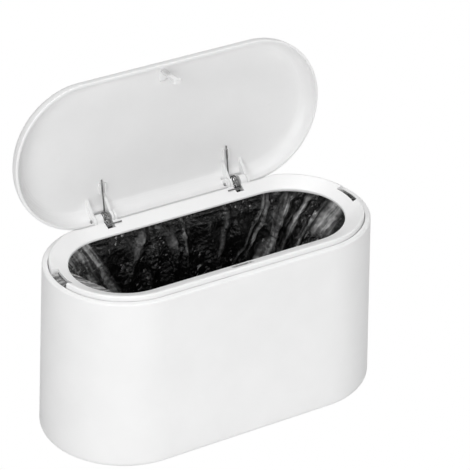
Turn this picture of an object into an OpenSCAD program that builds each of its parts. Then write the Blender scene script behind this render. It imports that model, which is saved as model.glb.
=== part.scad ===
// Push top countertop bin: an obround plastic bin with a lift-off bag collar, a sprung
// lid hinged at the back, and a push-to-open catch under the collar at the front.
// The origin is the middle of the underside, +X runs along the length, -Y is the front.
// The lid is drawn open, as it stands when the catch has let go.

/* [Bin body] */
// Length of the body, outside, at its rim
rim_length = 220; // [190:1:260]
// Width of the body, outside, front to back, at its rim
rim_width = 100; // [94:1:120]
// Height of the body, from the table to its rim
body_height = 115.5; // [95:0.5:180]
// How far the foot of the body stands out past the rim on each side
base_flare = 3; // [0:0.5:5]
// Wall of the body
body_wall = 2.4; // [1.8:0.1:3]
// Floor of the body
body_floor = 2.6; // [2:0.1:5]
// Rounding of the bottom outer edge
base_round = 4; // [2:0.5:8]
// Rounding of the rim's outer edge
rim_round = 1.2; // [0.6:0.1:2]
// Width of the rim's flat band, from the outside inwards
rim_band = 3.5; // [3.2:0.1:4.5]
// Drop from the rim to the ledge that the collar stands over
ledge_drop = 3.6; // [3:0.1:5]
// Width of that ledge
ledge_width = 2.2; // [1.5:0.1:3]

/* [Bag] */
// Thickness of the bag film with its creases
film = 0.5; // [0.4:0.1:0.6]
// Slack between the bag and the body's wall and floor
film_slack = 0.4; // [0.3:0.1:1]

/* [Collar] */
// Gap between the rim's band and the collar's wall
collar_gap = 0.5; // [0.4:0.1:1.5]
// Height of the collar's wall above the rim
collar_rise = 3.2; // [2.4:0.1:5]
// Distance from the outside of the rim to the bag opening
opening_inset = 16; // [15:0.5:20]
// Drop of the flange from its outer edge to the lip of the opening
dish_depth = 5.2; // [4:0.1:6.5]
// Rounding where the flange rolls over into the lip
lip_round = 1; // [1:0.1:2.4]
// Upright part of the lip
lip_height = 0.6; // [0.5:0.1:4]
// Thickness of the flange and of the lip
flange_wall = 2; // [1.6:0.1:2.4]
// Depth of the skirt that holds the bag against the body, below the rim
skirt_depth = 7.5; // [7:0.5:10]
// Thickness of the skirt
skirt_wall = 1.8; // [1.2:0.1:2.2]
// Length of each finger notch, front to back
notch_length = 18.6; // [14:0.2:26]
// Depth of each finger notch, inwards from the collar's wall
notch_depth = 4.6; // [3.8:0.1:5]

/* [Lid] */
// How far the lid's edge lies inside the rim's outer edge
lid_inset = 1.5; // [1.2:0.1:2]
// Wall of the lid
lid_wall = 1.6; // [1.4:0.1:2]
// Height of the lid, skirt edge to top
lid_height = 11.5; // [11:0.5:16]
// Outer rounding between the lid's top and its skirt
lid_round = 9.5; // [7:0.5:10]
// Gap between the rim and the shut lid's edge
lid_gap = 0.7; // [0.7:0.1:1.5]
// Angle from shut to open
open_angle = 93; // [88:1:96]

/* [Hinge] */
// Distance of each spring's middle from the middle of the bin
hinge_x = 46.7; // [38:0.1:60]
// Distance of the hinge axis inside the rim's outer edge
hinge_inset = 3.3; // [3.1:0.1:3.7]
// Height of the hinge axis above the shut lid's edge
hinge_rise = 2.5; // [2.4:0.1:2.8]
// Radius of the hinge pin
pin_r = 1.3; // [1.1:0.1:1.5]
// Running clearance of the pin in the lid's lugs
pin_clear = 0.06; // [0.03:0.01:0.09]
// Outer radius of the ears and lugs on the pin
ear_r = 3.6; // [3:0.1:3.8]
// Wire of the torsion springs
spring_wire = 0.9; // [0.7:0.1:1]
// Radius of the torsion springs at the middle of the wire
spring_r = 3.9; // [3.2:0.1:4]
// Step from one turn of a torsion spring to the next
spring_pitch = 1.4; // [1.35:0.05:1.45]
// Length of the leg that pushes the lid
leg_length = 24; // [18:1:28]
// Length of the foot that lies on the collar
foot_length = 5.5; // [4:0.5:7]

/* [Catch] */
// Distance of the catch's middle inside the rim's outer edge
latch_inset = 10.8; // [10.8:0.1:11.4]
// Travel of the plunger when the lid is pressed
latch_travel = 4.5; // [3:0.1:4.5]
// Angle by which each jaw stands open before it is pressed
jaw_spread = 12; // [8:0.5:13]
// Clearance of the plunger in its housing
latch_clear = 0.2; // [0.15:0.05:0.3]
// Half the width of the striker's neck
neck_half = 1.5; // [1:0.1:1.6]
// Half the width of the striker's head
head_half = 2.7; // [2.2:0.1:2.8]
// Radius of the pins that the jaws turn on
jaw_pin_r = 0.8; // [0.6:0.1:0.9]
// Wire of the catch spring
latch_wire = 0.7; // [0.5:0.1:0.8]
// Radius of the catch spring at the middle of the wire
latch_spring_r = 1.8; // [1.5:0.1:2]
// Turns of the catch spring
latch_turns = 5; // [4:1:6]
// Radius of the cam follower's wire
follower_r = 0.4; // [0.3:0.05:0.45]
// Radius of the screws' shanks
screw_r = 1.25; // [1:0.05:1.4]

/* [Hidden] */
$fn = 96;
little = 0.01;
fillet_steps = 8;

// The obround: two round ends joined by straight sides, all sections sweep round it
rim_r = rim_width / 2;
end_x = (rim_length - rim_width) / 2;
rim_z = body_height;

// Body, measured outwards from the middle line
rim_inner_r = rim_r - rim_band;
ledge_z = rim_z - ledge_drop;
ledge_r = rim_inner_r - ledge_width;
ledge_thickness = 1.8;
ledge_taper = 4;
inner_round = 3;
hinge_notch_depth = 3;
hinge_notch_spare = 0.8;

// Bag
bag_floor_z = body_floor + film_slack;
bag_neck_z = ledge_z - ledge_thickness - ledge_taper - film_slack;
bag_edge_gap = 0.2;

// Collar
collar_r = rim_inner_r - collar_gap;
collar_z = rim_z + collar_rise;
collar_round = 0.9;
collar_land = 0.7;
open_r = rim_r - opening_inset;
shoulder_z = ledge_z + film + 0.4;
skirt_r = ledge_r - film - 0.5;
lip_top_z = collar_z - dish_depth;
land_r = collar_r - collar_round - collar_land;
roll_at = [open_r + lip_round, lip_top_z];
roll_to_land = [land_r, collar_z] - roll_at;
roll_end = atan2(roll_to_land[1], roll_to_land[0]) + acos(lip_round / norm(roll_to_land));
flange_slope = tan(roll_end - 90);
flange_drop = flange_wall / cos(roll_end - 90);

// Lid, in its shut place
lid_r = rim_r - lid_inset;
lid_z = rim_z + lid_gap;
lid_top_z = lid_z + lid_height;
ceiling_z = lid_top_z - lid_wall;
lid_edge_round = 0.5;
ejector_r = 3.2;
ejector_depth = 0.15;
ejector_inset = 34;

// Hinge axis, and the room that the lid's back edge swings through
hinge_y = rim_r - hinge_inset;
hinge_z = lid_z + hinge_rise;
swing_r = norm([lid_r - hinge_y, hinge_rise]);
swing_room = 0.6;
back_cut_y = hinge_y - swing_r - swing_room;

// Places along a hinge, outwards from the spring's middle
coil_half = 2.4;
lug_inner = [-4.4, -2.8];
ear_inner = [-6.4, -4.7];
ear_outer = [3.2, 7.7];
lug_outer = [8, 9.7];
pin_span = [ear_inner[0] - 0.5, lug_outer[1] + 0.5];
window_span = [ear_inner[0] - 0.5, lug_outer[0] + little];
window_rise = 8.2;
pocket_span = [-coil_half - 0.3, coil_half + 0.4];
pocket_length = 4.6;
pocket_depth = 9;
spring_turns = 2;
spring_foot_inset = 2.4;
leg_touch = 0.1;
ear_root_inset = 0.5;
wire_sides = 6;
rings_per_turn = 8;

// Catch, with heights below the rim
latch_y = -(rim_r - latch_inset);
plunger_half_x = 6.9;
plunger_half_y = 2.7;
cavity_x = plunger_half_x + latch_clear + 0.1;
cavity_y = plunger_half_y + latch_clear;
housing_wall_x = 2.8;
housing_wall_y = 1.1;
housing_top = rim_z - 3.4;
housing_bottom = rim_z - 30;
cap_thickness = 2;
slot_wall = 1.5;
slot_half_x = 7.4;
slot_half_y = 2.4;
head_top = rim_z - 6.1;
head_height = 3;
striker_half_y = 1.1;
pivot_z = rim_z - 9;
pivot_x = 4.6;
jaw_top = rim_z + 0.2;
jaw_half_y = 1.6;
hook_height = 1.5;
hook_gap = 0.3;
jaw_back = 0.3;
boss_r = 1.5;
plunger_top = pivot_z - boss_r - 0.4;
plunger_bottom = rim_z - 20;
cheek_inner = jaw_half_y + 0.2;
cheek_top = pivot_z + 2;
cheek_length = 4.6;
spring_seat_r = 2.6;
spring_seat_depth = 3;
follower_x = plunger_half_x + 1;
follower_z = rim_z - 26.5;
follower_tip_z = rim_z - 18.6;
lane_shift = 1.2;
lane_half = 0.75;
lane_depth = 1;
screw_x = 13.2;
screw_ear_r = 3.1;
screw_ear_top = rim_z - 7.5;
screw_ear_thickness = 2.5;
screw_length = 8;
screw_head_r = 2.4;
screw_head_height = 1.6;

// Outside radius of the body's end at a height
function body_r(z) = rim_r + base_flare * (1 - z / rim_z);

// Top of the flange at a distance from the middle line
function flange_z(r) = collar_z - (land_r - r) * flange_slope;

// Points of an arc about a centre, from one angle to another
function arc(at, r, from, to) =
    [for (i = [0 : fillet_steps]) at + r * [cos(from + (to - from) * i / fillet_steps),
                                            sin(from + (to - from) * i / fillet_steps)]];

// Extrudes a section drawn in Y and Z along X
module along_x(from, to) {
    translate([from, 0, 0]) rotate([90, 0, 90]) linear_extrude(to - from) children();
}

// Extrudes a section drawn in X and Z along Y
module along_y(from, to) {
    translate([0, to, 0]) rotate([90, 0, 0]) linear_extrude(to - from) children();
}

// Sweeps a section, drawn as distance from the middle line and height, round the obround
module round_the_bin() {
    for (side = [-1, 1]) {
        translate([side * end_x, 0, 0]) rotate([0, 0, -90 * side]) rotate_extrude(angle = 180) children();
        rotate([0, 0, 90 - 90 * side]) along_x(-end_x, end_x) children();
    }
}

// Puts a hinge piece, drawn outwards from the spring's middle, on the left or the right
module at_hinge(side) {
    mirror([side < 0 ? 1 : 0, 0, 0]) translate([hinge_x, 0, 0]) children();
}

// Turns a piece drawn on the shut lid to where the open lid holds it
module lid_open() {
    translate([0, hinge_y, hinge_z]) rotate([-open_angle, 0, 0])
        translate([0, -hinge_y, -hinge_z]) children();
}

module body_section() {
    base_r = body_r(base_round);
    wall_top_z = ledge_z - ledge_thickness - ledge_taper;
    floor_r = body_r(body_floor + inner_round) - body_wall;
    polygon(concat(
        [[0, 0]],
        arc([base_r - base_round, base_round], base_round, -90, 0),
        arc([rim_r - rim_round, rim_z - rim_round], rim_round, 0, 90),
        [[rim_inner_r, rim_z], [rim_inner_r, ledge_z]],
        [[ledge_r, ledge_z], [ledge_r, ledge_z - ledge_thickness]],
        [[body_r(wall_top_z) - body_wall, wall_top_z]],
        arc([floor_r - inner_round, body_floor + inner_round], inner_round, 0, -90),
        [[0, body_floor]]
    ));
}

// The shell of the bin, with a ledge inside its rim and a notch at each hinge
module bin_body() {
    color("white") difference() {
        round_the_bin() body_section();
        for (side = [-1, 1]) at_hinge(side)
            translate([ear_inner[0] - hinge_notch_spare, hinge_y - ear_r - 2, rim_z - hinge_notch_depth])
                cube([lug_outer[1] - ear_inner[0] + 2 * hinge_notch_spare, rim_r, hinge_notch_depth + 1]);
    }
}

module bag_section() {
    out_low_r = body_r(bag_floor_z + inner_round) - body_wall - film_slack;
    out_high_r = body_r(bag_neck_z) - body_wall - film_slack;
    neck_r = ledge_r - bag_edge_gap;
    cuff_z = ledge_z + film;
    polygon(concat(
        [[0, bag_floor_z]],
        arc([out_low_r - inner_round, bag_floor_z + inner_round], inner_round, -90, 0),
        [[out_high_r, bag_neck_z], [neck_r, ledge_z - ledge_thickness]],
        [[neck_r, ledge_z], [rim_inner_r - bag_edge_gap, ledge_z]],
        [[rim_inner_r - bag_edge_gap, cuff_z], [neck_r - film, cuff_z]],
        [[neck_r - film, ledge_z - ledge_thickness - film], [out_high_r - film, bag_neck_z - film]],
        arc([out_low_r - inner_round, bag_floor_z + inner_round], inner_round - film, 0, -90),
        [[0, bag_floor_z + film]]
    ));
}

// The film bag that lines the bin, its cuff laid on the ledge under the collar
module bag() {
    color("dimgray") round_the_bin() bag_section();
}

module collar_section() {
    lip_r = open_r + flange_wall;
    lip_bottom_z = lip_top_z - lip_height;
    skirt_in_r = skirt_r - skirt_wall;
    skirt_bottom_z = rim_z - skirt_depth;
    polygon(concat(
        [[open_r, lip_bottom_z]],
        arc(roll_at, lip_round, 180, roll_end),
        [[land_r, collar_z]],
        arc([collar_r - collar_round, collar_z - collar_round], collar_round, 90, 0),
        [[collar_r, shoulder_z], [skirt_r, shoulder_z]],
        [[skirt_r, skirt_bottom_z], [skirt_in_r, skirt_bottom_z]],
        [[skirt_in_r, flange_z(skirt_in_r) - flange_drop], [lip_r, flange_z(lip_r) - flange_drop]],
        [[lip_r, lip_bottom_z]]
    ));
}

// Section of an ear in Y and Z: a round eye on the axis, and its root in the collar
module ear_shape() {
    root_y = back_cut_y - ear_root_inset;
    translate([hinge_y, hinge_z]) circle(ear_r);
    polygon([
        [hinge_y, hinge_z + ear_r], [root_y, flange_z(root_y)], [root_y, shoulder_z],
        [hinge_y - ear_r, shoulder_z], [hinge_y, hinge_z - ear_r]
    ]);
}

// Room for the catch: a framed slot through the flange, and the skirt cut away beside it
module latch_frame() {
    frame_height = flange_z(-latch_y - cavity_y) - housing_top - 1;
    translate([-cavity_x - slot_wall, latch_y - cavity_y - slot_wall, housing_top])
        cube([2 * (cavity_x + slot_wall), 2 * (cavity_y + slot_wall), frame_height]);
}

module screw_boss() {
    boss_top = flange_z(-latch_y - screw_ear_r) - flange_wall / 2;
    translate([0, latch_y, screw_ear_top]) cylinder(r = screw_ear_r - 0.2, h = boss_top - screw_ear_top);
}

// Cut for a finger at one end of the collar, its inner side following the round end
module finger_notch(side) {
    cut_bottom = rim_z - skirt_depth - 1;
    cut_height = collar_z + 1 - cut_bottom;
    difference() {
        translate([side * (end_x + collar_r) - rim_r / 2, -notch_length / 2, cut_bottom])
            cube([rim_r, notch_length, cut_height]);
        translate([side * end_x, 0, cut_bottom - 1])
            cylinder(r = collar_r - notch_depth, h = cut_height + 2);
    }
}

// The lift-off ring that traps the bag, and carries the lid and the catch
module collar() {
    latch_room_x = screw_x + screw_ear_r + 1;
    latch_room_bottom = rim_z - skirt_depth - 1;
    color("white") difference() {
        union() {
            difference() {
                round_the_bin() collar_section();
                translate([-end_x - rim_r, back_cut_y, shoulder_z - 1])
                    cube([2 * (end_x + rim_r), rim_r, collar_z - shoulder_z + 2]);
                translate([-latch_room_x, -rim_r, latch_room_bottom])
                    cube([2 * latch_room_x, rim_r + latch_y + screw_ear_r, housing_top - latch_room_bottom]);
            }
            for (side = [-1, 1]) at_hinge(side) {
                along_x(ear_inner[0], ear_inner[1]) ear_shape();
                along_x(ear_outer[0], ear_outer[1]) ear_shape();
            }
            latch_frame();
            for (side = [-1, 1]) translate([side * screw_x, 0, 0]) screw_boss();
        }
        for (side = [-1, 1]) {
            finger_notch(side);
            translate([side * screw_x, latch_y, screw_ear_top - 1])
                cylinder(r = screw_r + pin_clear, h = screw_length - 1);
            at_hinge(side) {
                hinge_bar(pin_r, 1);
                translate([pocket_span[0], back_cut_y - pocket_length, hinge_z - pocket_depth])
                    cube([pocket_span[1] - pocket_span[0], 2 * pocket_length, 2 * pocket_depth]);
            }
        }
        translate([-slot_half_x, latch_y - slot_half_y, housing_top - 1])
            cube([2 * slot_half_x, 2 * slot_half_y, collar_z]);
    }
}

module lid_section() {
    round_at = [lid_r - lid_round, lid_top_z - lid_round];
    polygon(concat(
        [[0, ceiling_z]],
        arc(round_at, lid_round - lid_wall, 90, 0),
        [[lid_r - lid_wall, lid_z]],
        arc([lid_r - lid_edge_round, lid_z + lid_edge_round], lid_edge_round, -90, 0),
        arc(round_at, lid_round, 0, 90),
        [[0, lid_top_z]]
    ));
}

// Section of a lug in Y and Z: a round eye on the axis, hung from the lid's ceiling
module lug_shape() {
    translate([hinge_y, hinge_z]) circle(ear_r);
    polygon([
        [hinge_y + ear_r * cos(60), hinge_z + ear_r * sin(60)], [hinge_y - 2, ceiling_z + 0.5],
        [hinge_y - 13, ceiling_z + 0.5], [hinge_y - ear_r, hinge_z], [hinge_y, hinge_z - ear_r / 2]
    ]);
}

// The tongue under the lid's front that the catch grips by its head
module striker() {
    tip_half = head_half - 1.2;
    along_y(latch_y - striker_half_y, latch_y + striker_half_y) polygon([
        [-neck_half, ceiling_z + little], [-neck_half, head_top], [-head_half, head_top],
        [-head_half, head_top - head_height / 2], [-tip_half, head_top - head_height],
        [tip_half, head_top - head_height], [head_half, head_top - head_height / 2],
        [head_half, head_top], [neck_half, head_top], [neck_half, ceiling_z + little]
    ]);
    for (side = [-1, 1])
        along_x(side * neck_half - 0.5, side * neck_half + 0.5)
            polygon([[latch_y, lid_z], [latch_y + 7, ceiling_z + little], [latch_y, ceiling_z + little]]);
}

// The two ribs under the lid's ceiling that keep the spring's leg in its place
module leg_guides() {
    guide_from = hinge_y - leg_length + 3;
    leg_x = -coil_half + spring_wire / 2;
    for (x = [leg_x - 1.9, leg_x + 1.9])
        translate([x - 0.5, guide_from, ceiling_z - 1.8]) cube([1, 7, 1.8 + little]);
}

module lid_shut() {
    difference() {
        union() {
            difference() {
                round_the_bin() lid_section();
                for (side = [-1, 1]) at_hinge(side)
                    translate([window_span[0], hinge_y - ear_r - 1, lid_z - 1])
                        cube([window_span[1] - window_span[0], rim_r, window_rise + 1]);
            }
            for (side = [-1, 1]) at_hinge(side) {
                along_x(lug_inner[0], lug_inner[1]) lug_shape();
                along_x(lug_outer[0], lug_outer[1]) lug_shape();
                leg_guides();
            }
            striker();
        }
        for (side = [-1, 1]) {
            at_hinge(side) hinge_bar(pin_r + pin_clear, 1);
            translate([side * (rim_length / 2 - ejector_inset), 0, ceiling_z - 1])
                cylinder(r = ejector_r, h = 1 + ejector_depth);
        }
    }
}

// The lid: a shallow tray turned over, with lugs for the pins and a striker at the front
module lid() {
    color("white") lid_open() lid_shut();
}

module hinge_pin(side) {
    color("silver") at_hinge(side) hinge_bar(pin_r, 0);
}

// A round bar on the hinge's axis, as long as the pin and a little more at each end
module hinge_bar(r, more) {
    translate([pin_span[0] - more, hinge_y, hinge_z]) rotate([0, 90, 0])
        cylinder(r = r, h = pin_span[1] - pin_span[0] + 2 * more);
}

// A tube of round section swept along a path, closed at both ends
module tube(path, r) {
    last = len(path) - 1;
    directions = [for (i = [0 : last]) let (d = path[min(i + 1, last)] - path[max(i - 1, 0)]) d / norm(d)];
    frames = carried(directions, [first_normal(directions[0])]);
    turn = 360 / wire_sides;
    points = [for (i = [0 : last]) each let (n = frames[i], b = cross(directions[i], n))
        [for (k = [0 : wire_sides - 1]) path[i] + r * (cos(turn * k) * n + sin(turn * k) * b)]];
    sides = [for (i = [0 : last - 1]) each [for (k = [0 : wire_sides - 1]) each let (
        a = i * wire_sides + k, b = i * wire_sides + (k + 1) % wire_sides)
        [[a, b, b + wire_sides], [a, b + wire_sides, a + wire_sides]]]];
    start_cap = [for (k = [1 : wire_sides - 2]) [0, k + 1, k]];
    end_cap = [for (k = [1 : wire_sides - 2]) let (e = last * wire_sides) [e, e + k, e + k + 1]];
    polyhedron(points, concat(sides, start_cap, end_cap));
}

// A unit vector square to a direction
function first_normal(d) = let (n = cross(d, abs(d[2]) < 0.9 ? [0, 0, 1] : [1, 0, 0])) n / norm(n);

// Normals carried along the path without twisting
function carried(d, done) = len(done) == len(d) ? done :
    let (i = len(done), n = done[i - 1] - (done[i - 1] * d[i]) * d[i])
        carried(d, concat(done, [n / norm(n)]));

// Least gap between stretches of a wire's surface, for points over half a turn apart
function self_gap(path, r, apart) = min([for (i = [0 : len(path) - 1 - apart]) each
    [for (j = [i + apart : len(path) - 1]) norm(path[i] - path[j])]]) - 2 * r;

// Angle by which the spring's leg leans from its turns to the lid's ceiling
leg_lean = asin((ceiling_z - hinge_z - spring_wire / 2 - leg_touch - spring_r) / leg_length);

// Path of a torsion spring, outwards from its middle: foot, turns, then the lid's leg
function torsion_path() =
    let (
        coil_from = coil_half - spring_wire / 2,
        turned = spring_turns + 0.5 + (90 - open_angle - leg_lean) / 360,
        rings = round(turned * rings_per_turn),
        foot_y = back_cut_y - spring_foot_inset,
        foot_z = flange_z(foot_y) + spring_wire / 2 + 0.1,
        foot = [[-coil_half - foot_length, foot_y, foot_z], [-coil_half, foot_y, foot_z],
                [coil_from - 1, foot_y, foot_z], [coil_from - 0.3, foot_y + 0.5, foot_z],
                [coil_from, foot_y + 1.3, foot_z]],
        turns = [for (i = [0 : rings]) let (t = 180 + 360 * turned * i / rings)
            [coil_from - turned * spring_pitch * i / rings,
             hinge_y + spring_r * cos(t), hinge_z + spring_r * sin(t)]],
        lean = open_angle + leg_lean - 90,
        leg_from = turns[len(turns) - 1],
        leg = [for (part = [0.1 : 0.3 : 1]) leg_from + leg_length * part * [0, sin(lean), cos(lean)]]
    ) concat(foot, turns, leg);

module lid_spring(side) {
    path = torsion_path();
    least_gap = self_gap(path, spring_wire / 2, rings_per_turn / 2 + 1);
    echo(str("least gap of the lid spring to itself, mm: ", least_gap));
    color("gray") at_hinge(side) tube(path, spring_wire / 2);
}

// The upright case that guides the plunger, screwed under the flange
module latch_housing() {
    outer_x = cavity_x + housing_wall_x;
    outer_y = cavity_y + housing_wall_y;
    channel_x = follower_x + follower_r + 0.3;
    ear_bottom = screw_ear_top - screw_ear_thickness;
    color("gainsboro") difference() {
        union() {
            translate([-outer_x, latch_y - outer_y, housing_bottom])
                cube([2 * outer_x, 2 * outer_y, housing_top - housing_bottom]);
            for (side = [-1, 1]) {
                translate([side * screw_x, latch_y, ear_bottom])
                    cylinder(r = screw_ear_r, h = screw_ear_thickness);
                translate([min(side * screw_x, side * (outer_x - 1)), latch_y - screw_ear_r, ear_bottom])
                    cube([screw_x - outer_x + 1, 2 * screw_ear_r, screw_ear_thickness]);
            }
        }
        translate([-cavity_x, latch_y - cavity_y, housing_bottom - 1])
            cube([2 * cavity_x, 2 * cavity_y, housing_top - housing_bottom + 2]);
        translate([0, latch_y - lane_shift - 1.2, housing_bottom + cap_thickness])
            cube([channel_x, 2 * lane_shift + 2.4, follower_tip_z - housing_bottom + 2]);
        translate([0, latch_y, follower_z]) rotate([0, 90, 0])
            cylinder(r = follower_r + 0.05, h = outer_x + 1);
        for (side = [-1, 1])
            translate([side * screw_x, latch_y, ear_bottom - 1])
                cylinder(r = screw_r + pin_clear, h = screw_ear_thickness + 2);
    }
}

// The plug that shuts the case from below and carries the spring
module latch_cap() {
    plug_clear = 0.05;
    color("gainsboro") {
        translate([-cavity_x + plug_clear, latch_y - cavity_y + plug_clear, housing_bottom])
            cube([2 * (cavity_x - plug_clear), 2 * (cavity_y - plug_clear), cap_thickness]);
        translate([0, latch_y, housing_bottom + cap_thickness - little])
            cylinder(r = latch_spring_r - latch_wire / 2 - 0.35, h = 2);
    }
}

// One lane of the cam track, from the follower's rest place to one side of the loop
module cam_lane(side) {
    run = [side * lane_shift, latch_travel];
    lane_x = plunger_half_x - lane_depth;
    for (s = [0 : 1])
        translate([lane_x, latch_y + s * run[0], follower_tip_z + s * run[1]]) rotate([0, 90, 0])
            cylinder(r = lane_half, h = lane_depth + 1, $fn = 32);
    translate([lane_x, latch_y, follower_tip_z]) rotate([-atan2(run[0], run[1]), 0, 0])
        translate([0, -lane_half, 0]) cube([lane_depth + 1, 2 * lane_half, norm(run)]);
}

// The sliding block between the jaws, with its heart-shaped cam track on one side
module latch_plunger() {
    color("whitesmoke") difference() {
        union() {
            translate([-plunger_half_x, latch_y - plunger_half_y, plunger_bottom])
                cube([2 * plunger_half_x, 2 * plunger_half_y, plunger_top - plunger_bottom]);
            for (cheek_x = [-plunger_half_x, plunger_half_x - cheek_length])
                for (cheek_y = [-plunger_half_y, cheek_inner])
                    translate([cheek_x, latch_y + cheek_y, plunger_top - little])
                        cube([cheek_length, plunger_half_y - cheek_inner, cheek_top - plunger_top]);
        }
        for (side = [-1, 1]) {
            translate([side * pivot_x, latch_y, pivot_z]) rotate([90, 0, 0])
                cylinder(r = jaw_pin_r, h = 4 * plunger_half_y, center = true);
            cam_lane(side);
        }
        translate([plunger_half_x - lane_depth, latch_y - lane_shift, follower_tip_z])
            translate([0, 0, latch_travel - lane_half]) cube([lane_depth + 1, 2 * lane_shift, 2 * lane_half]);
        translate([0, latch_y, plunger_bottom - 1]) cylinder(r = spring_seat_r, h = spring_seat_depth + 1);
    }
}

// A jaw, drawn shut on the right, turned out about its pin to where it waits
module latch_jaw(side) {
    hook_x = neck_half + hook_gap;
    arm_x = head_half + 0.6;
    back_x = pivot_x + jaw_back;
    color("silver") mirror([side < 0 ? 1 : 0, 0, 0]) translate([pivot_x, 0, pivot_z])
        rotate([0, jaw_spread, 0]) translate([-pivot_x, 0, -pivot_z]) difference() {
            union() {
                along_y(latch_y - jaw_half_y, latch_y + jaw_half_y) polygon([
                    [back_x, pivot_z], [back_x, jaw_top], [hook_x + 0.9, jaw_top],
                    [hook_x, jaw_top - hook_height], [arm_x, jaw_top - hook_height], [arm_x, pivot_z]
                ]);
                jaw_bar(boss_r, jaw_half_y);
            }
            jaw_bar(jaw_pin_r + pin_clear, jaw_half_y + 1);
        }
}

// A round bar across the catch on the right jaw's pivot
module jaw_bar(r, half_length) {
    translate([pivot_x, latch_y, pivot_z]) rotate([90, 0, 0])
        cylinder(r = r, h = 2 * half_length, center = true);
}

// The two pins pressed through the plunger's cheeks
module jaw_pins() {
    color("silver") for (side = [-1, 1])
        translate([side * pivot_x, latch_y, pivot_z]) rotate([90, 0, 0])
            cylinder(r = jaw_pin_r, h = 2 * plunger_half_y, center = true);
}

// Path of the catch spring, standing on the cap inside the plunger
function latch_spring_path() =
    let (
        from_z = housing_bottom + cap_thickness + latch_wire / 2,
        to_z = plunger_bottom + spring_seat_depth - latch_wire / 2,
        rings = latch_turns * rings_per_turn
    ) [for (i = [0 : rings]) let (t = 360 * i / rings_per_turn)
        [latch_spring_r * cos(t), latch_y + latch_spring_r * sin(t), from_z + (to_z - from_z) * i / rings]];

module latch_spring() {
    path = latch_spring_path();
    least_gap = self_gap(path, latch_wire / 2, rings_per_turn / 2 + 1);
    echo(str("least gap of the catch spring to itself, mm: ", least_gap));
    color("gray") tube(path, latch_wire / 2);
}

// The bent wire whose tip runs in the cam track
module cam_follower() {
    outer_x = cavity_x + housing_wall_x;
    tip_x = plunger_half_x - lane_depth + 0.2;
    color("silver") {
        translate([follower_x, latch_y, follower_z]) {
            rotate([0, 90, 0]) cylinder(r = follower_r, h = outer_x - follower_x);
            cylinder(r = follower_r, h = follower_tip_z - follower_z);
            sphere(follower_r);
        }
        translate([follower_x, latch_y, follower_tip_z]) sphere(follower_r);
        translate([tip_x, latch_y, follower_tip_z]) rotate([0, 90, 0])
            cylinder(r = follower_r, h = follower_x - tip_x);
    }
}

// The two screws that hold the case under the collar
module latch_screws() {
    head_z = screw_ear_top - screw_ear_thickness;
    color("silver") for (side = [-1, 1]) translate([side * screw_x, latch_y, head_z]) difference() {
        union() {
            cylinder(r = screw_r, h = screw_length);
            translate([0, 0, -screw_head_height]) cylinder(r = screw_head_r, h = screw_head_height);
        }
        for (turn = [0, 90]) rotate([0, 0, turn]) translate([0, 0, -screw_head_height])
            cube([2.6, 0.6, 1.6], center = true);
    }
}

bin_body();
bag();
collar();
lid();
hinge_pin(-1);  // hinge_pin_left
hinge_pin(1);  // hinge_pin_right
lid_spring(-1);  // lid_spring_left
lid_spring(1);  // lid_spring_right
latch_housing();
latch_cap();
latch_plunger();
latch_jaw(-1);  // latch_jaw_left
latch_jaw(1);  // latch_jaw_right
jaw_pins();
latch_spring();
cam_follower();
latch_screws();
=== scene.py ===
"""Looks of the push top countertop bin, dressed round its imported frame."""
import math

import bpy
import numpy as np
from mathutils import Matrix, Vector


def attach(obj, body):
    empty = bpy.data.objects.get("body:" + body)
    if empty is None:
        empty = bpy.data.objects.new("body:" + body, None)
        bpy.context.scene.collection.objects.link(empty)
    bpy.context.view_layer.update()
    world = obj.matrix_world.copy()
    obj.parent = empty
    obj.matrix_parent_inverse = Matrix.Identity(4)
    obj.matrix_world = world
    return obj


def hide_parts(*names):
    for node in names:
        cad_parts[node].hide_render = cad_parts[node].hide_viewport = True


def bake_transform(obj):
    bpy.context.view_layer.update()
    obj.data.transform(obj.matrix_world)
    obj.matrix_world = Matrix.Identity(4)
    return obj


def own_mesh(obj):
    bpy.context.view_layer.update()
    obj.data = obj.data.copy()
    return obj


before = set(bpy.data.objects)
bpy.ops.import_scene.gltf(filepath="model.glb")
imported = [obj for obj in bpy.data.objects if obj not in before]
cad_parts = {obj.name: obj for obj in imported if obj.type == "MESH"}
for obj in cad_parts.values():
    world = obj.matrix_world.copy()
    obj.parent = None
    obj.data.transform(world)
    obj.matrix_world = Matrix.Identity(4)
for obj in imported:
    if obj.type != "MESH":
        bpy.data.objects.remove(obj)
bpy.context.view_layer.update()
MM = 0.001

# Sizes, in millimetres
END_X = 60.0
RIM_Z = 115.5
HINGE_Y = 46.7
HINGE_Z = 118.7
HINGE_X = 46.7
FOOT_Y = 40.62
FOOT_Z = 117.60
OPEN_ANGLE = 93.0
LATCH_Y = -39.2


# The photo's width in pixels, the unit of the camera's focal length and shift
PHOTO_WIDTH = 470


def make_camera():
    """The camera as fitted to the photo: a long lens, from the front left and above."""
    azimuth, elevation, roll = math.radians(32.378), math.radians(30.328), math.radians(1.488)
    distance, focal = 1705.93, 2739.49
    shift_x, shift_y = -27.039, 51.348
    target = Vector((0, 0, 80))
    ahead = math.cos(elevation)
    look = Vector((math.sin(azimuth) * ahead, math.cos(azimuth) * ahead, -math.sin(elevation)))
    level = Vector((math.cos(azimuth), -math.sin(azimuth), 0))
    upright = level.cross(look)
    right = level * math.cos(roll) + upright * math.sin(roll)
    up = -level * math.sin(roll) + upright * math.cos(roll)
    place = target - distance * (look + shift_x / focal * right - shift_y / focal * up)
    data = bpy.data.cameras.new("camera")
    data.sensor_width = 36.0
    data.lens = data.sensor_width * focal / PHOTO_WIDTH
    data.clip_start, data.clip_end = 0.05, 50
    camera = bpy.data.objects.new("camera", data)
    turn = Matrix((right, up, -look)).transposed().to_4x4()
    camera.matrix_world = Matrix.Translation(place * MM) @ turn
    bpy.context.scene.collection.objects.link(camera)
    bpy.context.scene.camera = camera


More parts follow.
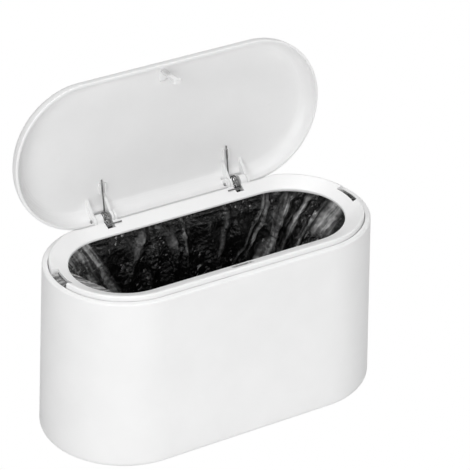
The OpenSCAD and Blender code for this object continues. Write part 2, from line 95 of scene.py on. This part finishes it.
# Node helpers
class Nodes:
    """A short way to write a material's node tree."""

    def __init__(self, name):
        self.material = bpy.data.materials.new(name)
        self.material.use_nodes = True
        self.tree = self.material.node_tree
        self.shader = self.tree.nodes["Principled BSDF"]
        self.coords = self.add("ShaderNodeTexCoord")

    def add(self, kind, **values):
        node = self.tree.nodes.new(kind)
        for key, value in values.items():
            setattr(node, key, value)
        return node

    def link(self, source, target):
        self.tree.links.new(source, target)

    def noise(self, scale, detail=3.0, roughness=0.5, distortion=0.0, vector=None):
        node = self.add("ShaderNodeTexNoise")
        node.inputs["Scale"].default_value = scale
        node.inputs["Detail"].default_value = detail
        node.inputs["Roughness"].default_value = roughness
        node.inputs["Distortion"].default_value = distortion
        self.link(vector or self.coords.outputs["Object"], node.inputs["Vector"])
        return node.outputs["Fac"]

    def ramp(self, source, stops):
        node = self.add("ShaderNodeValToRGB")
        elements = node.color_ramp.elements
        elements[0].position, elements[0].color = stops[0]
        elements[1].position, elements[1].color = stops[-1]
        for position, color in stops[1:-1]:
            elements.new(position).color = color
        self.link(source, node.inputs["Fac"])
        return node.outputs["Color"]

    def spread(self, source, low, high):
        node = self.add("ShaderNodeMapRange")
        node.inputs["To Min"].default_value = low
        node.inputs["To Max"].default_value = high
        self.link(source, node.inputs["Value"])
        return node.outputs["Result"]

    def bump(self, height, strength, distance, below=None):
        node = self.add("ShaderNodeBump")
        node.inputs["Strength"].default_value = strength
        node.inputs["Distance"].default_value = distance
        self.link(height, node.inputs["Height"])
        if below is not None:
            self.link(below, node.inputs["Normal"])
        return node.outputs["Normal"]


def grey(value):
    return (value, value, value, 1)


def moulded_plastic(name, light, dark, roughness, grain):
    n = Nodes(name)
    n.link(n.ramp(n.noise(38, 4), [(0.35, dark), (0.65, light)]), n.shader.inputs["Base Color"])
    n.link(n.spread(n.noise(220, 2), roughness - 0.04, roughness + 0.05), n.shader.inputs["Roughness"])
    flow = n.bump(n.noise(26, 2), 0.05, 0.002)
    n.link(n.bump(n.noise(grain, 2, 0.6), 0.10, 0.0002, flow), n.shader.inputs["Normal"])
    n.shader.inputs["IOR"].default_value = 1.48
    return n.material


def steel(name, light, dark, roughness):
    n = Nodes(name)
    stretch = n.add("ShaderNodeMapping")
    stretch.inputs["Scale"].default_value = (300, 2600, 2600)
    n.link(n.coords.outputs["Object"], stretch.inputs["Vector"])
    lines = n.noise(1.0, 3, vector=stretch.outputs["Vector"])
    n.link(n.ramp(lines, [(0.3, dark), (0.7, light)]), n.shader.inputs["Base Color"])
    n.link(n.spread(lines, roughness - 0.08, roughness + 0.1), n.shader.inputs["Roughness"])
    n.link(n.bump(lines, 0.2, 0.0001), n.shader.inputs["Normal"])
    n.shader.inputs["Metallic"].default_value = 1.0
    return n.material


def black_film(name):
    n = Nodes(name)
    # stretched film is thinner and greyer; the lighter greys also stand for painted sheen and painted glints
    # where the film would catch the light
    stretch = n.add("ShaderNodeAttribute", attribute_name="stretch")
    mottle = n.add("ShaderNodeMath", operation="MULTIPLY_ADD")
    n.link(n.noise(170, 5, 0.7), mottle.inputs[0])
    mottle.inputs[1].default_value = 0.9
    mottle.inputs[2].default_value = 0.5
    pale = n.add("ShaderNodeMath", operation="MULTIPLY", use_clamp=True)
    n.link(stretch.outputs["Fac"], pale.inputs[0])
    n.link(mottle.outputs["Value"], pale.inputs[1])
    film_and_sheen_greys = [(0.02, grey(0.004)), (0.30, grey(0.17)), (0.62, grey(0.55)), (1.0, grey(0.9))]
    n.link(n.ramp(pale.outputs["Value"], film_and_sheen_greys), n.shader.inputs["Base Color"])
    n.link(n.spread(n.noise(140, 4, 0.6), 0.10, 0.30), n.shader.inputs["Roughness"])
    wobble = n.add("ShaderNodeTexNoise")
    wobble.inputs["Scale"].default_value = 150
    n.link(n.coords.outputs["Object"], wobble.inputs["Vector"])
    warp = n.add("ShaderNodeVectorMath", operation="MULTIPLY_ADD")
    n.link(wobble.outputs["Color"], warp.inputs[0])
    warp.inputs[1].default_value = (0.008, 0.008, 0.008)
    n.link(n.coords.outputs["Object"], warp.inputs[2])
    cells = n.add("ShaderNodeTexVoronoi", feature="F1")
    cells.inputs["Scale"].default_value = 420
    n.link(warp.outputs["Vector"], cells.inputs["Vector"])
    coarse = n.bump(n.noise(190, 5, 0.6, 0.8), 0.8, 0.003)
    n.link(n.bump(cells.outputs["Distance"], 0.6, 0.0012, coarse), n.shader.inputs["Normal"])
    n.shader.inputs["IOR"].default_value = 1.5
    n.shader.inputs["Specular IOR Level"].default_value = 0.5
    n.shader.inputs["Coat Weight"].default_value = 0.3
    n.shader.inputs["Coat Roughness"].default_value = 0.12
    return n.material


# Mesh helpers
def new_mesh(name, vertices, faces, material, smooth=True):
    """A piece from vertices in metres and the faces between them."""
    mesh = bpy.data.meshes.new(name)
    mesh.from_pydata([tuple(v) for v in vertices], [], [tuple(map(int, f)) for f in faces])
    return finished(name, mesh, material, smooth)


def finished(name, mesh, material, smooth=True):
    mesh.materials.append(material)
    mesh.update()
    mesh.polygons.foreach_set("use_smooth", [smooth] * len(mesh.polygons))
    piece = bpy.data.objects.new(name, mesh)
    bpy.context.scene.collection.objects.link(piece)
    return piece


def grid_mesh(name, points, material):
    """A sheet of quads through a (rows, columns, 3) array of points in metres, closed round its columns."""
    rows, columns = points.shape[:2]
    index = np.arange(rows * columns).reshape(rows, columns)
    beside = np.roll(index, -1, axis=1)
    quads = np.stack([index[:-1], beside[:-1], beside[1:], index[1:]], axis=-1).reshape(-1)
    count = len(quads) // 4
    mesh = bpy.data.meshes.new(name)
    mesh.vertices.add(rows * columns)
    mesh.vertices.foreach_set("co", points.reshape(-1))
    mesh.loops.add(len(quads))
    mesh.loops.foreach_set("vertex_index", quads)
    mesh.polygons.add(count)
    mesh.polygons.foreach_set("loop_start", np.arange(0, len(quads), 4))
    mesh.update(calc_edges=True)
    return finished(name, mesh, material)


def tube(name, path, radius, material, sides=14):
    """A round wire along a path in millimetres, with rounded ends."""
    path = np.asarray(path, float)
    way = np.gradient(path, axis=0)
    way /= np.linalg.norm(way, axis=1)[:, None]
    across = np.cross(way[0], (0.3, 0.2, 1.0))
    across /= np.linalg.norm(across)
    angles = np.linspace(0, 2 * math.pi, sides, endpoint=False)
    cosines, sines = np.cos(angles)[:, None], np.sin(angles)[:, None]
    rings = []
    count = len(path)
    for i in range(count):
        across = across - way[i] * across.dot(way[i])
        across /= np.linalg.norm(across)
        other = np.cross(way[i], across)
        rings.append(path[i] + radius * (cosines * across + sines * other))
    ends = []
    for i, sign in ((0, -1), (count - 1, 1)):
        ends.append(path[i] + sign * way[i] * radius * 0.5)
    vertices = np.vstack(rings + [ends])
    faces = []
    for i in range(count - 1):
        for k in range(sides):
            a, b = i * sides + k, i * sides + (k + 1) % sides
            faces.append((a, b, b + sides, a + sides))
    first, last = count * sides, count * sides + 1
    for k in range(sides):
        faces.append((first, (k + 1) % sides, k))
        faces.append((last, (count - 1) * sides + k, (count - 1) * sides + (k + 1) % sides))
    return new_mesh(name, vertices * MM, faces, material)


# The bag. The film hangs from the wall's neck, at this radius and height
WALL_R = 43.75
NECK_Z = 107
# The taut sheet at the left end: a point on its ridge, the way across it, its height and its slope
RIDGE_AT = (-80.0, 28.0)
RIDGE_ACROSS = (0.942, 0.334)
RIDGE_Z = 98.5
SHEET_SLOPE = 0.30
# Radius and height of the cuff on the ledge, from its edge inwards, and where it shows in a finger notch
CUFF = (
    (46.1, 112.3), (45.2, 112.2), (44.4, 112.35), (44.0, 112.2), (43.8, 111.6), (43.75, 110.0), (43.75, 107.0),
)
NOTCH_CUFF = (
    (46.3, 115.3), (45.2, 115.9), (43.7, 116.2), (42.4, 115.8), (42.0, 113.5), (42.6, 110.0), (43.7, 107.0),
)
NOTCH_HALF = 8.9
# Below the neck: height, how far the film hangs in at the right end and the left end, share of the ridge kept
HANG = (
    (92, 8, 5, 1.06), (80, 17, 7, 1.0), (66, 24, 8, 0.9), (50, 27, 8, 0.75), (34, 24, 7, 0.55),
)
# How far in from the wall, and how high, the film lies where it meets the floor, to the seam in the middle
BOTTOM = ((6, 14), (8, 7.5), (14, 5), (30, 4.5), (WALL_R, 4.5))
# Share of the film's rows, in percent, at which each of the places above comes
ROW_SHARES = (0, 1, 2, 3, 4, 6, 9, 11, 20, 30, 38, 48, 58, 68, 77, 85, 88, 91, 95, 100)
# Rows and columns of the film's mesh, and the share of the rows that lies on the ledge
FILM_ROWS = 300
FILM_COLUMNS = 960
LEDGE_SHARE = 0.115
# How far out the film may reach at each height, and its lowest point
BODY_INSIDE = ((4, 46.5), (20, 47.4), (104, 44.6), (107, 43.8), (112, 46.2), (116, 46.3))
FILM_FLOOR_Z = 3.6
# Folds that stand out: place along the rim, lean per mm of depth, half width, height, stretch (which also
# lightens the crest's colour as painted sheen), deepest point
FOLDS = (
    (85.0, -0.53, 4.6, 6.5, 0.62, 62), (98.8, -0.57, 2.7, 5.0, 0.60, 48), (111.5, -0.50, 1.8, 3.5, 0.55, 44),
    (71.5, -0.55, 1.2, 2.6, 0.45, 48), (67.0, -0.55, 0.9, 2.0, 0.35, 48), (6.5, 0.0, 0.9, 2.2, 0.55, 36),
    (499.5, -0.45, 3.2, 3.4, 0.38, 28), (512.0, 0.45, 3.6, 2.6, 0.30, 26), (40.0, -0.30, 2.2, 2.4, 0.18, 40),
)


def perimeter(count):
    """Even points round the obround's middle line and their normals, from the back's middle, going left."""
    radius = 45.0
    straight, bend = 2 * END_X, math.pi * radius
    total = 2 * (straight + bend)
    s = np.linspace(0, total, count, endpoint=False)
    centres, normals = np.zeros((count, 2)), np.zeros((count, 2))
    for i, at in enumerate(s):
        if at < straight / 2:
            centres[i], normals[i] = (-at, 0), (0, 1)
        elif at < straight / 2 + bend:
            angle = math.pi / 2 + (at - straight / 2) / radius
            centres[i], normals[i] = (-END_X, 0), (math.cos(angle), math.sin(angle))
        elif at < 1.5 * straight + bend:
            centres[i], normals[i] = (-END_X + at - straight / 2 - bend, 0), (0, -1)
        elif at < 1.5 * straight + 2 * bend:
            angle = -math.pi / 2 + (at - 1.5 * straight - bend) / radius
            centres[i], normals[i] = (END_X, 0), (math.cos(angle), math.sin(angle))
        else:
            centres[i], normals[i] = (END_X - (at - 1.5 * straight - 2 * bend), 0), (0, 1)
    return s, total, centres, normals


def smooth_step(value):
    value = np.clip(value, 0, 1)
    return value * value * (3 - 2 * value)


def fold_wave(phase, sharpness):
    """A row of crests, 0 in the valleys and 1 on the crests."""
    return (1 - np.abs(2 * (phase % 1.0) - 1)) ** sharpness


def crumple(points, seed, waves, wavelength, height):
    """Sharp creases as in a crushed film: straight ridges in many directions, each bent a little."""
    rng = np.random.default_rng(seed)
    field = np.zeros(points.shape[:2])
    for _ in range(waves):
        way = rng.normal(size=3)
        way /= np.linalg.norm(way)
        side = np.cross(way, rng.normal(size=3))
        side /= np.linalg.norm(side)
        length = rng.uniform(*wavelength)
        bend = 0.35 * np.sin(points @ side / (length * rng.uniform(0.5, 0.9)) + rng.uniform(0, 6.3))
        # each ridge runs for a short way only
        reach = length * rng.uniform(0.8, 1.6)
        patch = np.clip(np.sin(points @ (way + 1.7 * side) / reach + rng.uniform(0, 6.3)), 0, 1)
        field += length * patch * (fold_wave(points @ way / length + bend + rng.uniform(), 1.0) - 0.5)
    return field * height / (math.sqrt(waves) * 0.5 * (wavelength[0] + wavelength[1]) / 2)


def value_noise(across, along, seed):
    """Smooth random values between 0 and 1 over two coordinates, one step of each per cell."""
    table = np.random.default_rng(seed).random((256, 256))
    column, row = np.floor(across).astype(int), np.floor(along).astype(int)
    u, v = smooth_step(across - column), smooth_step(along - row)
    left, right = column % 256, (column + 1) % 256
    near = table[row % 256, left] * (1 - u) + table[row % 256, right] * u
    far = table[(row + 1) % 256, left] * (1 - u) + table[(row + 1) % 256, right] * u
    return near * (1 - v) + far * v


def stretch_and_sheen_lines(across, along, seed):
    """Fine lines along a pull in the film, between 0 and 1, which lighten its colour as stretch marks and as
    painted sheen streaks.
    """
    widths = (1.1, 2.0, 4.2)
    field = sum(value_noise(across / width, along / (width * 7), seed + i) for i, width in enumerate(widths))
    return smooth_step((field / 3 - 0.28) / 0.45)


def surface_normals(points):
    """Unit normals of a grid of points that is closed round its columns."""
    down = np.gradient(points, axis=0)
    along = np.roll(points, -1, axis=1) - np.roll(points, 1, axis=1)
    normals = np.cross(down, along)
    return normals / np.maximum(np.linalg.norm(normals, axis=2, keepdims=True), 1e-9)


def bag_profile(centres, normals):
    """The film without its creases: how far in from the wall and how high it hangs, by row and column."""
    x_out, y_out = normals[:, 0], normals[:, 1]
    wall_x, wall_y = centres[:, 0] + x_out * WALL_R, y_out * WALL_R
    before = RIDGE_ACROSS[0] * (wall_x - RIDGE_AT[0]) + RIDGE_ACROSS[1] * (wall_y - RIDGE_AT[1])
    rate = -(RIDGE_ACROSS[0] * x_out + RIDGE_ACROSS[1] * y_out)
    to_ridge = np.where((before < 0) & (wall_x < 0), -before / np.maximum(rate, 0.12), 0)
    to_ridge = np.clip(to_ridge, 0, 42)
    sheet = smooth_step(to_ridge / 6)
    sheet_top = RIDGE_Z - SHEET_SLOPE * before
    right = np.maximum(x_out, 0) ** 0.8
    left = np.maximum(-x_out, 0)
    window = smooth_step((NOTCH_HALF - np.abs(wall_y)) / 1.2) * (np.abs(x_out) > 0.8)
    knots = [(WALL_R - (1 - window) * a[0] - window * b[0], (1 - window) * a[1] + window * b[1])
             for a, b in zip(CUFF, NOTCH_CUFF)]
    plain = 1.5 + 2.5 * (1 - left)
    rim = np.minimum(np.where(sheet > 0, sheet_top, 104.0), 106.0)
    flat = np.zeros(len(centres))
    half_way = RIDGE_Z + (rim - RIDGE_Z) * 0.5
    knots.append((0.8 + flat, (1 - sheet) * 104.5 + sheet * rim))
    knots.append((np.maximum(0.5 * to_ridge, plain * 0.6), (1 - sheet) * 102 + sheet * half_way))
    knots.append((np.maximum(to_ridge, plain), (1 - sheet) * 99.5 + sheet * RIDGE_Z))
    for z, at_right, at_left, keep in HANG:
        inward = at_right * right + at_left * left + 4.5 * (1 - right - left)
        knots.append((np.maximum(inward, keep * to_ridge), z + flat))
    for inward, z in BOTTOM:
        knots.append((inward + flat, z + flat))
    steps = np.array(ROW_SHARES, float) / 100
    t = np.linspace(0, 1, FILM_ROWS)
    q_knots = np.array([knot[0] for knot in knots])
    z_knots = np.array([knot[1] for knot in knots])
    q = np.array([np.interp(t, steps, q_knots[:, i]) for i in range(len(flat))]).T
    z = np.array([np.interp(t, steps, z_knots[:, i]) for i in range(len(flat))]).T
    return t, q, z, sheet


def soften(q, z, hanging):
    """Rounds the profile off where the film hangs free, and leaves the cuff as it is."""
    for _ in range(6):
        q_mean = (np.roll(q, 1, 0) + 2 * q + np.roll(q, -1, 0)) / 4
        z_mean = (np.roll(z, 1, 0) + 2 * z + np.roll(z, -1, 0)) / 4
        q[1:-1] = np.where(hanging[1:-1], q_mean[1:-1], q[1:-1])
        z[1:-1] = np.where(hanging[1:-1], z_mean[1:-1], z[1:-1])


def film_folds(run, depth, sheet):
    """Height of the folds over the profile, and a value from 0 to 1 for how far the film is stretched there,
    which also carries painted sheen and painted glints that lighten its colour.
    """
    across = run + 0.53 * depth
    folds, stretch = np.zeros_like(depth), np.zeros_like(depth)
    for place, lean, half_width, height, pull, deepest in FOLDS:
        away = (run - place - lean * depth + 1.1 * np.sin(depth / 9.0 + place)) / half_width
        length = smooth_step((deepest - depth) / 14) * smooth_step((depth + 2) / 6)
        folds = np.maximum(folds, np.exp(-away ** 2) * length * height)
        stretch = np.maximum(stretch, np.exp(-away ** 4) * length * pull)
    # the taut places, one at each end, lighter in colour as stretched film and as painted sheen; the left one
    # ends at its ridge
    left_taut_sheen = smooth_step((462.5 + 0.55 * depth - run) / 2.5) * smooth_step((run - 372) / 20)
    left_taut_sheen = left_taut_sheen * smooth_step((58 - depth) / 20)
    right_taut_sheen = smooth_step((across - 113) / 5) * smooth_step((131 - run) / 10) * smooth_step((24 - depth) / 10)
    lines = stretch_and_sheen_lines(across, depth, 21)
    lines_left = stretch_and_sheen_lines(run - 0.55 * depth, depth, 22)
    stretch = np.maximum(stretch * (0.25 + 0.9 * lines), right_taut_sheen * (0.45 + 0.5 * lines))
    stretch = np.maximum(stretch, left_taut_sheen * (0.16 + 0.78 * lines_left))
    # small painted glints, a lighter colour where the crushed film would turn to the light, in patches
    painted_glints = smooth_step((value_noise(across / 1.1, depth / 1.8, 31) - 0.80) / 0.10)
    painted_glints = painted_glints * smooth_step((value_noise(across / 11, depth / 13, 32) - 0.38) / 0.25)
    stretch = np.maximum(stretch, 0.75 * painted_glints * smooth_step((70 - depth) / 30))
    # short creases break all of it
    stretch = stretch * (0.55 + 0.7 * value_noise(across / 2.6, depth / 1.9, 27))
    # soft upright folds on the rest
    upright = run + 4.5 * np.sin(depth / 17.0 + run / 30.0)
    calm = (1 - np.clip(stretch * 2, 0, 1)) * (1 - sheet[None, :])
    folds = folds + fold_wave(upright / 19.0, 1.6) * calm * smooth_step((depth - 4) / 18) * 5.0
    return folds, stretch


def film_creases(points, t, z, sheet, near_catch):
    """How far each point moves out along its normal: crumples where the film hangs, faint ones on the cuff."""
    coarse = crumple(points, 5, 16, (11, 26), 1.5)
    middle = crumple(points, 6, 26, (5, 11), 0.75)
    fine = crumple(points, 7, 30, (2.4, 4.8), 0.26)
    streaks = crumple(points * (0.35, 0.35, 1.0), 8, 10, (3, 6), 0.3)
    free = smooth_step((t - 0.125) / 0.05)[:, None]
    taut = 1 - 0.75 * sheet[None, :] * (z > RIDGE_Z - 2)
    shift = free * (taut * (coarse + middle) + fine + (1 - taut) * streaks)
    shift = shift + (1 - free) * 0.25 * np.clip(fine, -0.4, 0.4) * (t > 0.01)[:, None]
    shift = np.where(near_catch[None, :] * (z > 70) > 0.3, np.clip(shift, -0.3, 0.3), shift)
    # both halves meet along the bag's bottom seam
    return shift * smooth_step((1 - t) / 0.04)[:, None]


def make_bag(material):
    """The liner: a cuff on the ledge, a taut sheet at each end, folds between them and creases all over."""
    s, total, centres, normals = perimeter(FILM_COLUMNS)
    t, q, z, sheet = bag_profile(centres, normals)
    hanging = (t > LEDGE_SHARE)[:, None]
    soften(q, z, hanging)
    folds, stretch = film_folds((total - s)[None, :], NECK_Z - z, sheet)
    # the film stays flat on the wall behind the catch
    near_catch = np.exp(-((centres[:, 0] / 24.0) ** 4)) * (normals[:, 1] < -0.9)
    folds = folds * (1 - near_catch[None, :])
    low = smooth_step((z - 6) / 14)
    q = np.maximum(q + folds * low, np.where(hanging, 0, q))
    q = np.where(hanging, q * (1 - near_catch[None, :] * smooth_step((z - 55) / 25)), q)
    radii = np.maximum(WALL_R - q, 0)
    radii[-1] = 0
    points = np.zeros((FILM_ROWS, FILM_COLUMNS, 3))
    points[:, :, 0] = centres[None, :, 0] + normals[None, :, 0] * radii
    points[:, :, 1] = normals[None, :, 1] * radii
    points[:, :, 2] = z
    out = surface_normals(points)
    points += out * film_creases(points, t, z, sheet, near_catch)[:, :, None]
    film = grid_mesh("bag_film", keep_inside(points, centres, normals) * MM, material)
    # the stretch value lightens the film's colour: stretched film, with painted sheen and painted glints
    values = np.clip(stretch, 0, 1).reshape(-1)
    film.data.attributes.new("stretch", "FLOAT", "POINT").data.foreach_set("value", values)
    return film


def keep_inside(points, centres, normals):
    """Moves film that would pass through the body's wall or floor back to it."""
    offset = points[:, :, :2] - centres[None, :, :]
    reach = (offset * normals[None, :, :]).sum(axis=2)
    heights, reaches = zip(*BODY_INSIDE)
    limit = np.interp(points[:, :, 2], heights, reaches)
    over = np.maximum(reach - limit, 0)
    points[:, :, :2] -= normals[None, :, :] * over[:, :, None]
    points[:, :, 2] = np.maximum(points[:, :, 2], FILM_FLOOR_Z)
    return points


# Springs. The first points of a lid spring's path are its foot
FOOT_POINTS = 7
LID_WIRE = 0.9
CATCH_WIRE = 0.7
WIRE_SIDES = 12


def torsion_path(side):
    """The lid spring's path: its foot on the collar, its turns, and its leg up the open lid."""
    radius, pitch, half = 3.9, 1.4, 2.4
    leg_length, ceiling = 24, 7.2
    lean = math.asin((ceiling - LID_WIRE / 2 - 0.1 - radius) / leg_length)
    turned = 2.5 + (90 - OPEN_ANGLE) / 360 - lean / (2 * math.pi)
    start = half - LID_WIRE / 2
    # along the hinge, and how far the foot has bent back towards the turns
    bends = [(-half - 5.5, 0), (-half - 3, 0), (-half, 0), (start - 2, 0)]
    bends += [(start - 1, 0.1), (start - 0.3, 0.5), (start, 1.3)]
    foot = [(x, FOOT_Y + y, FOOT_Z) for x, y in bends]
    count = 110
    turns = []
    for i in range(count + 1):
        angle = math.pi + 2 * math.pi * turned * i / count
        x = start - turned * pitch * i / count
        turns.append((x, HINGE_Y + radius * math.cos(angle), HINGE_Z + radius * math.sin(angle)))
    back = math.radians(OPEN_ANGLE - 90) + lean
    x, y, z = turns[-1]
    leg = [(x, y + d * math.sin(back), z + d * math.cos(back)) for d in (1, 5, 10, 15, 20, leg_length)]
    path = np.array(foot + turns + leg)
    path[:, 0] = side * (HINGE_X + path[:, 0])
    ends = side * (HINGE_X + start), side * (HINGE_X + turns[-1][0])
    return path, ends


def make_lid_spring(side, material):
    """A torsion spring: its foot stays on the collar, and its turns and leg are drawn as they sit with the lid
    open.
    """
    word = "left" if side < 0 else "right"
    path, (from_x, to_x) = torsion_path(side)
    foot = tube("lid_spring_foot_" + word, path[:FOOT_POINTS + 1], LID_WIRE / 2, material, WIRE_SIDES)
    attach(foot, "top")
    piece = tube("lid_spring_wire_" + word, path[FOOT_POINTS:], LID_WIRE / 2, material, WIRE_SIDES)
    for part in (foot, piece):
        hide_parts("lid_spring_" + word)
    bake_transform(piece)


def make_catch_spring(material):
    """The spring under the plunger, drawn at its free length of 11 mm; the real one shortens to 6.5 mm as the
    plunger goes down.
    """
    radius, turns, count = 1.8, 5, 140
    low, high = RIM_Z - 28 + CATCH_WIRE / 2, RIM_Z - 17 - CATCH_WIRE / 2
    path = []
    for i in range(count + 1):
        angle = 2 * math.pi * turns * i / count
        height = low + (high - low) * i / count
        path.append((radius * math.cos(angle), LATCH_Y + radius * math.sin(angle), height))
    piece = tube("catch_spring_wire", path, CATCH_WIRE / 2, material, WIRE_SIDES)
    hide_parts("latch_spring")
    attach(piece, "top")
    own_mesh(piece)


# Surroundings: the strength of the world's light, and half the floor's side in metres
WORLD_STRENGTH = 0.2
FLOOR_HALF = 6


def make_surroundings():
    """A pale floor and world, plain white to the camera, dim as light on the object."""
    n = Nodes("pale_floor")
    n.link(n.ramp(n.noise(3, 2), [(0.3, grey(0.78)), (0.7, grey(0.82))]), n.shader.inputs["Base Color"])
    n.shader.inputs["Roughness"].default_value = 0.9
    out = n.tree.nodes["Material Output"]
    path = n.add("ShaderNodeLightPath")
    glow = n.add("ShaderNodeEmission")
    glow.inputs["Color"].default_value = grey(1)
    mix = n.add("ShaderNodeMixShader")
    n.link(path.outputs["Is Camera Ray"], mix.inputs["Fac"])
    n.link(n.shader.outputs["BSDF"], mix.inputs[1])
    n.link(glow.outputs["Emission"], mix.inputs[2])
    n.link(mix.outputs["Shader"], out.inputs["Surface"])
    corners = [(x * FLOOR_HALF, y * FLOOR_HALF, 0) for x, y in ((-1, -1), (1, -1), (1, 1), (-1, 1))]
    floor = new_mesh("floor", corners, [(0, 1, 2, 3)], n.material, smooth=False)
    floor.location.z = -0.0002
    world = bpy.data.worlds.new("studio")
    world.use_nodes = True
    tree = world.node_tree
    back = tree.nodes["Background"]
    back.inputs["Color"].default_value = grey(1)
    back.inputs["Strength"].default_value = WORLD_STRENGTH
    seen = tree.nodes.new("ShaderNodeBackground")
    seen.inputs["Color"].default_value = grey(1)
    seen.inputs["Strength"].default_value = 1.0
    rays = tree.nodes.new("ShaderNodeLightPath")
    mixed = tree.nodes.new("ShaderNodeMixShader")
    tree.links.new(rays.outputs["Is Camera Ray"], mixed.inputs["Fac"])
    tree.links.new(back.outputs["Background"], mixed.inputs[1])
    tree.links.new(seen.outputs["Background"], mixed.inputs[2])
    tree.links.new(mixed.outputs["Shader"], tree.nodes["World Output"].inputs["Surface"])
    bpy.context.scene.world = world


# Each light's place and size in metres, and its power in watts
LIGHTS = {
    "key_left": ((-1.5, -1.15, 0.75), (0.9, 1.2), 15.5),
    "front": ((-0.6, -1.9, 0.6), (0.9, 0.9), 8),
    "top": ((0, 0, 1.8), (1.2, 1.0), 16.5),
    "back_top": ((0.2, 1.2, 1.5), (1.0, 0.8), 1),
    "right": ((1.6, -0.6, 0.7), (0.8, 0.9), 1),
    "left_back": ((-1.6, 0.8, 0.8), (0.8, 0.9), 0.6),
    "front_right": ((0.9, -1.7, 0.6), (0.8, 0.9), 4.2),
}


def make_lights():
    """Soft rectangular lamps, all turned to the middle of the bin."""
    middle = Vector((0, 0, 0.08))
    for name, (place, size, power) in LIGHTS.items():
        data = bpy.data.lights.new(name, "AREA")
        data.shape = "RECTANGLE"
        data.size, data.size_y = size
        data.energy = power
        light = bpy.data.objects.new(name, data)
        light.location = place
        light.rotation_euler = (middle - Vector(place)).to_track_quat("-Z", "Y").to_euler()
        bpy.context.scene.collection.objects.link(light)


# Putting it together
make_camera()
make_surroundings()
make_lights()

white = moulded_plastic("white_moulding", grey(0.86), grey(0.84), 0.32, 2400)
pale = moulded_plastic("pale_moulding", grey(0.72), grey(0.68), 0.45, 2000)
wire = steel("drawn_wire", grey(0.62), grey(0.45), 0.3)
dark_wire = steel("spring_wire", grey(0.30), grey(0.16), 0.34)
film = black_film("black_film")

PAINT = (
    (white, ("bin_body", "collar", "lid")),
    (pale, ("latch_housing", "latch_cap", "latch_plunger")),
    (wire, ("hinge_pin_left", "hinge_pin_right", "latch_jaw_left", "latch_jaw_right")),
    (wire, ("jaw_pins", "cam_follower", "latch_screws")),
    (dark_wire, ("lid_spring_left", "lid_spring_right", "latch_spring")),
    (film, ("bag",)),
)
for material, names in PAINT:
    for name in names:
        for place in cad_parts[name].material_slots:
            place.material = material

bag = make_bag(film)
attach(bag, "bin")
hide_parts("bag")
for side in (-1, 1):
    make_lid_spring(side, dark_wire)
make_catch_spring(dark_wire)

scene = bpy.context.scene
scene.view_settings.view_transform = "Standard"
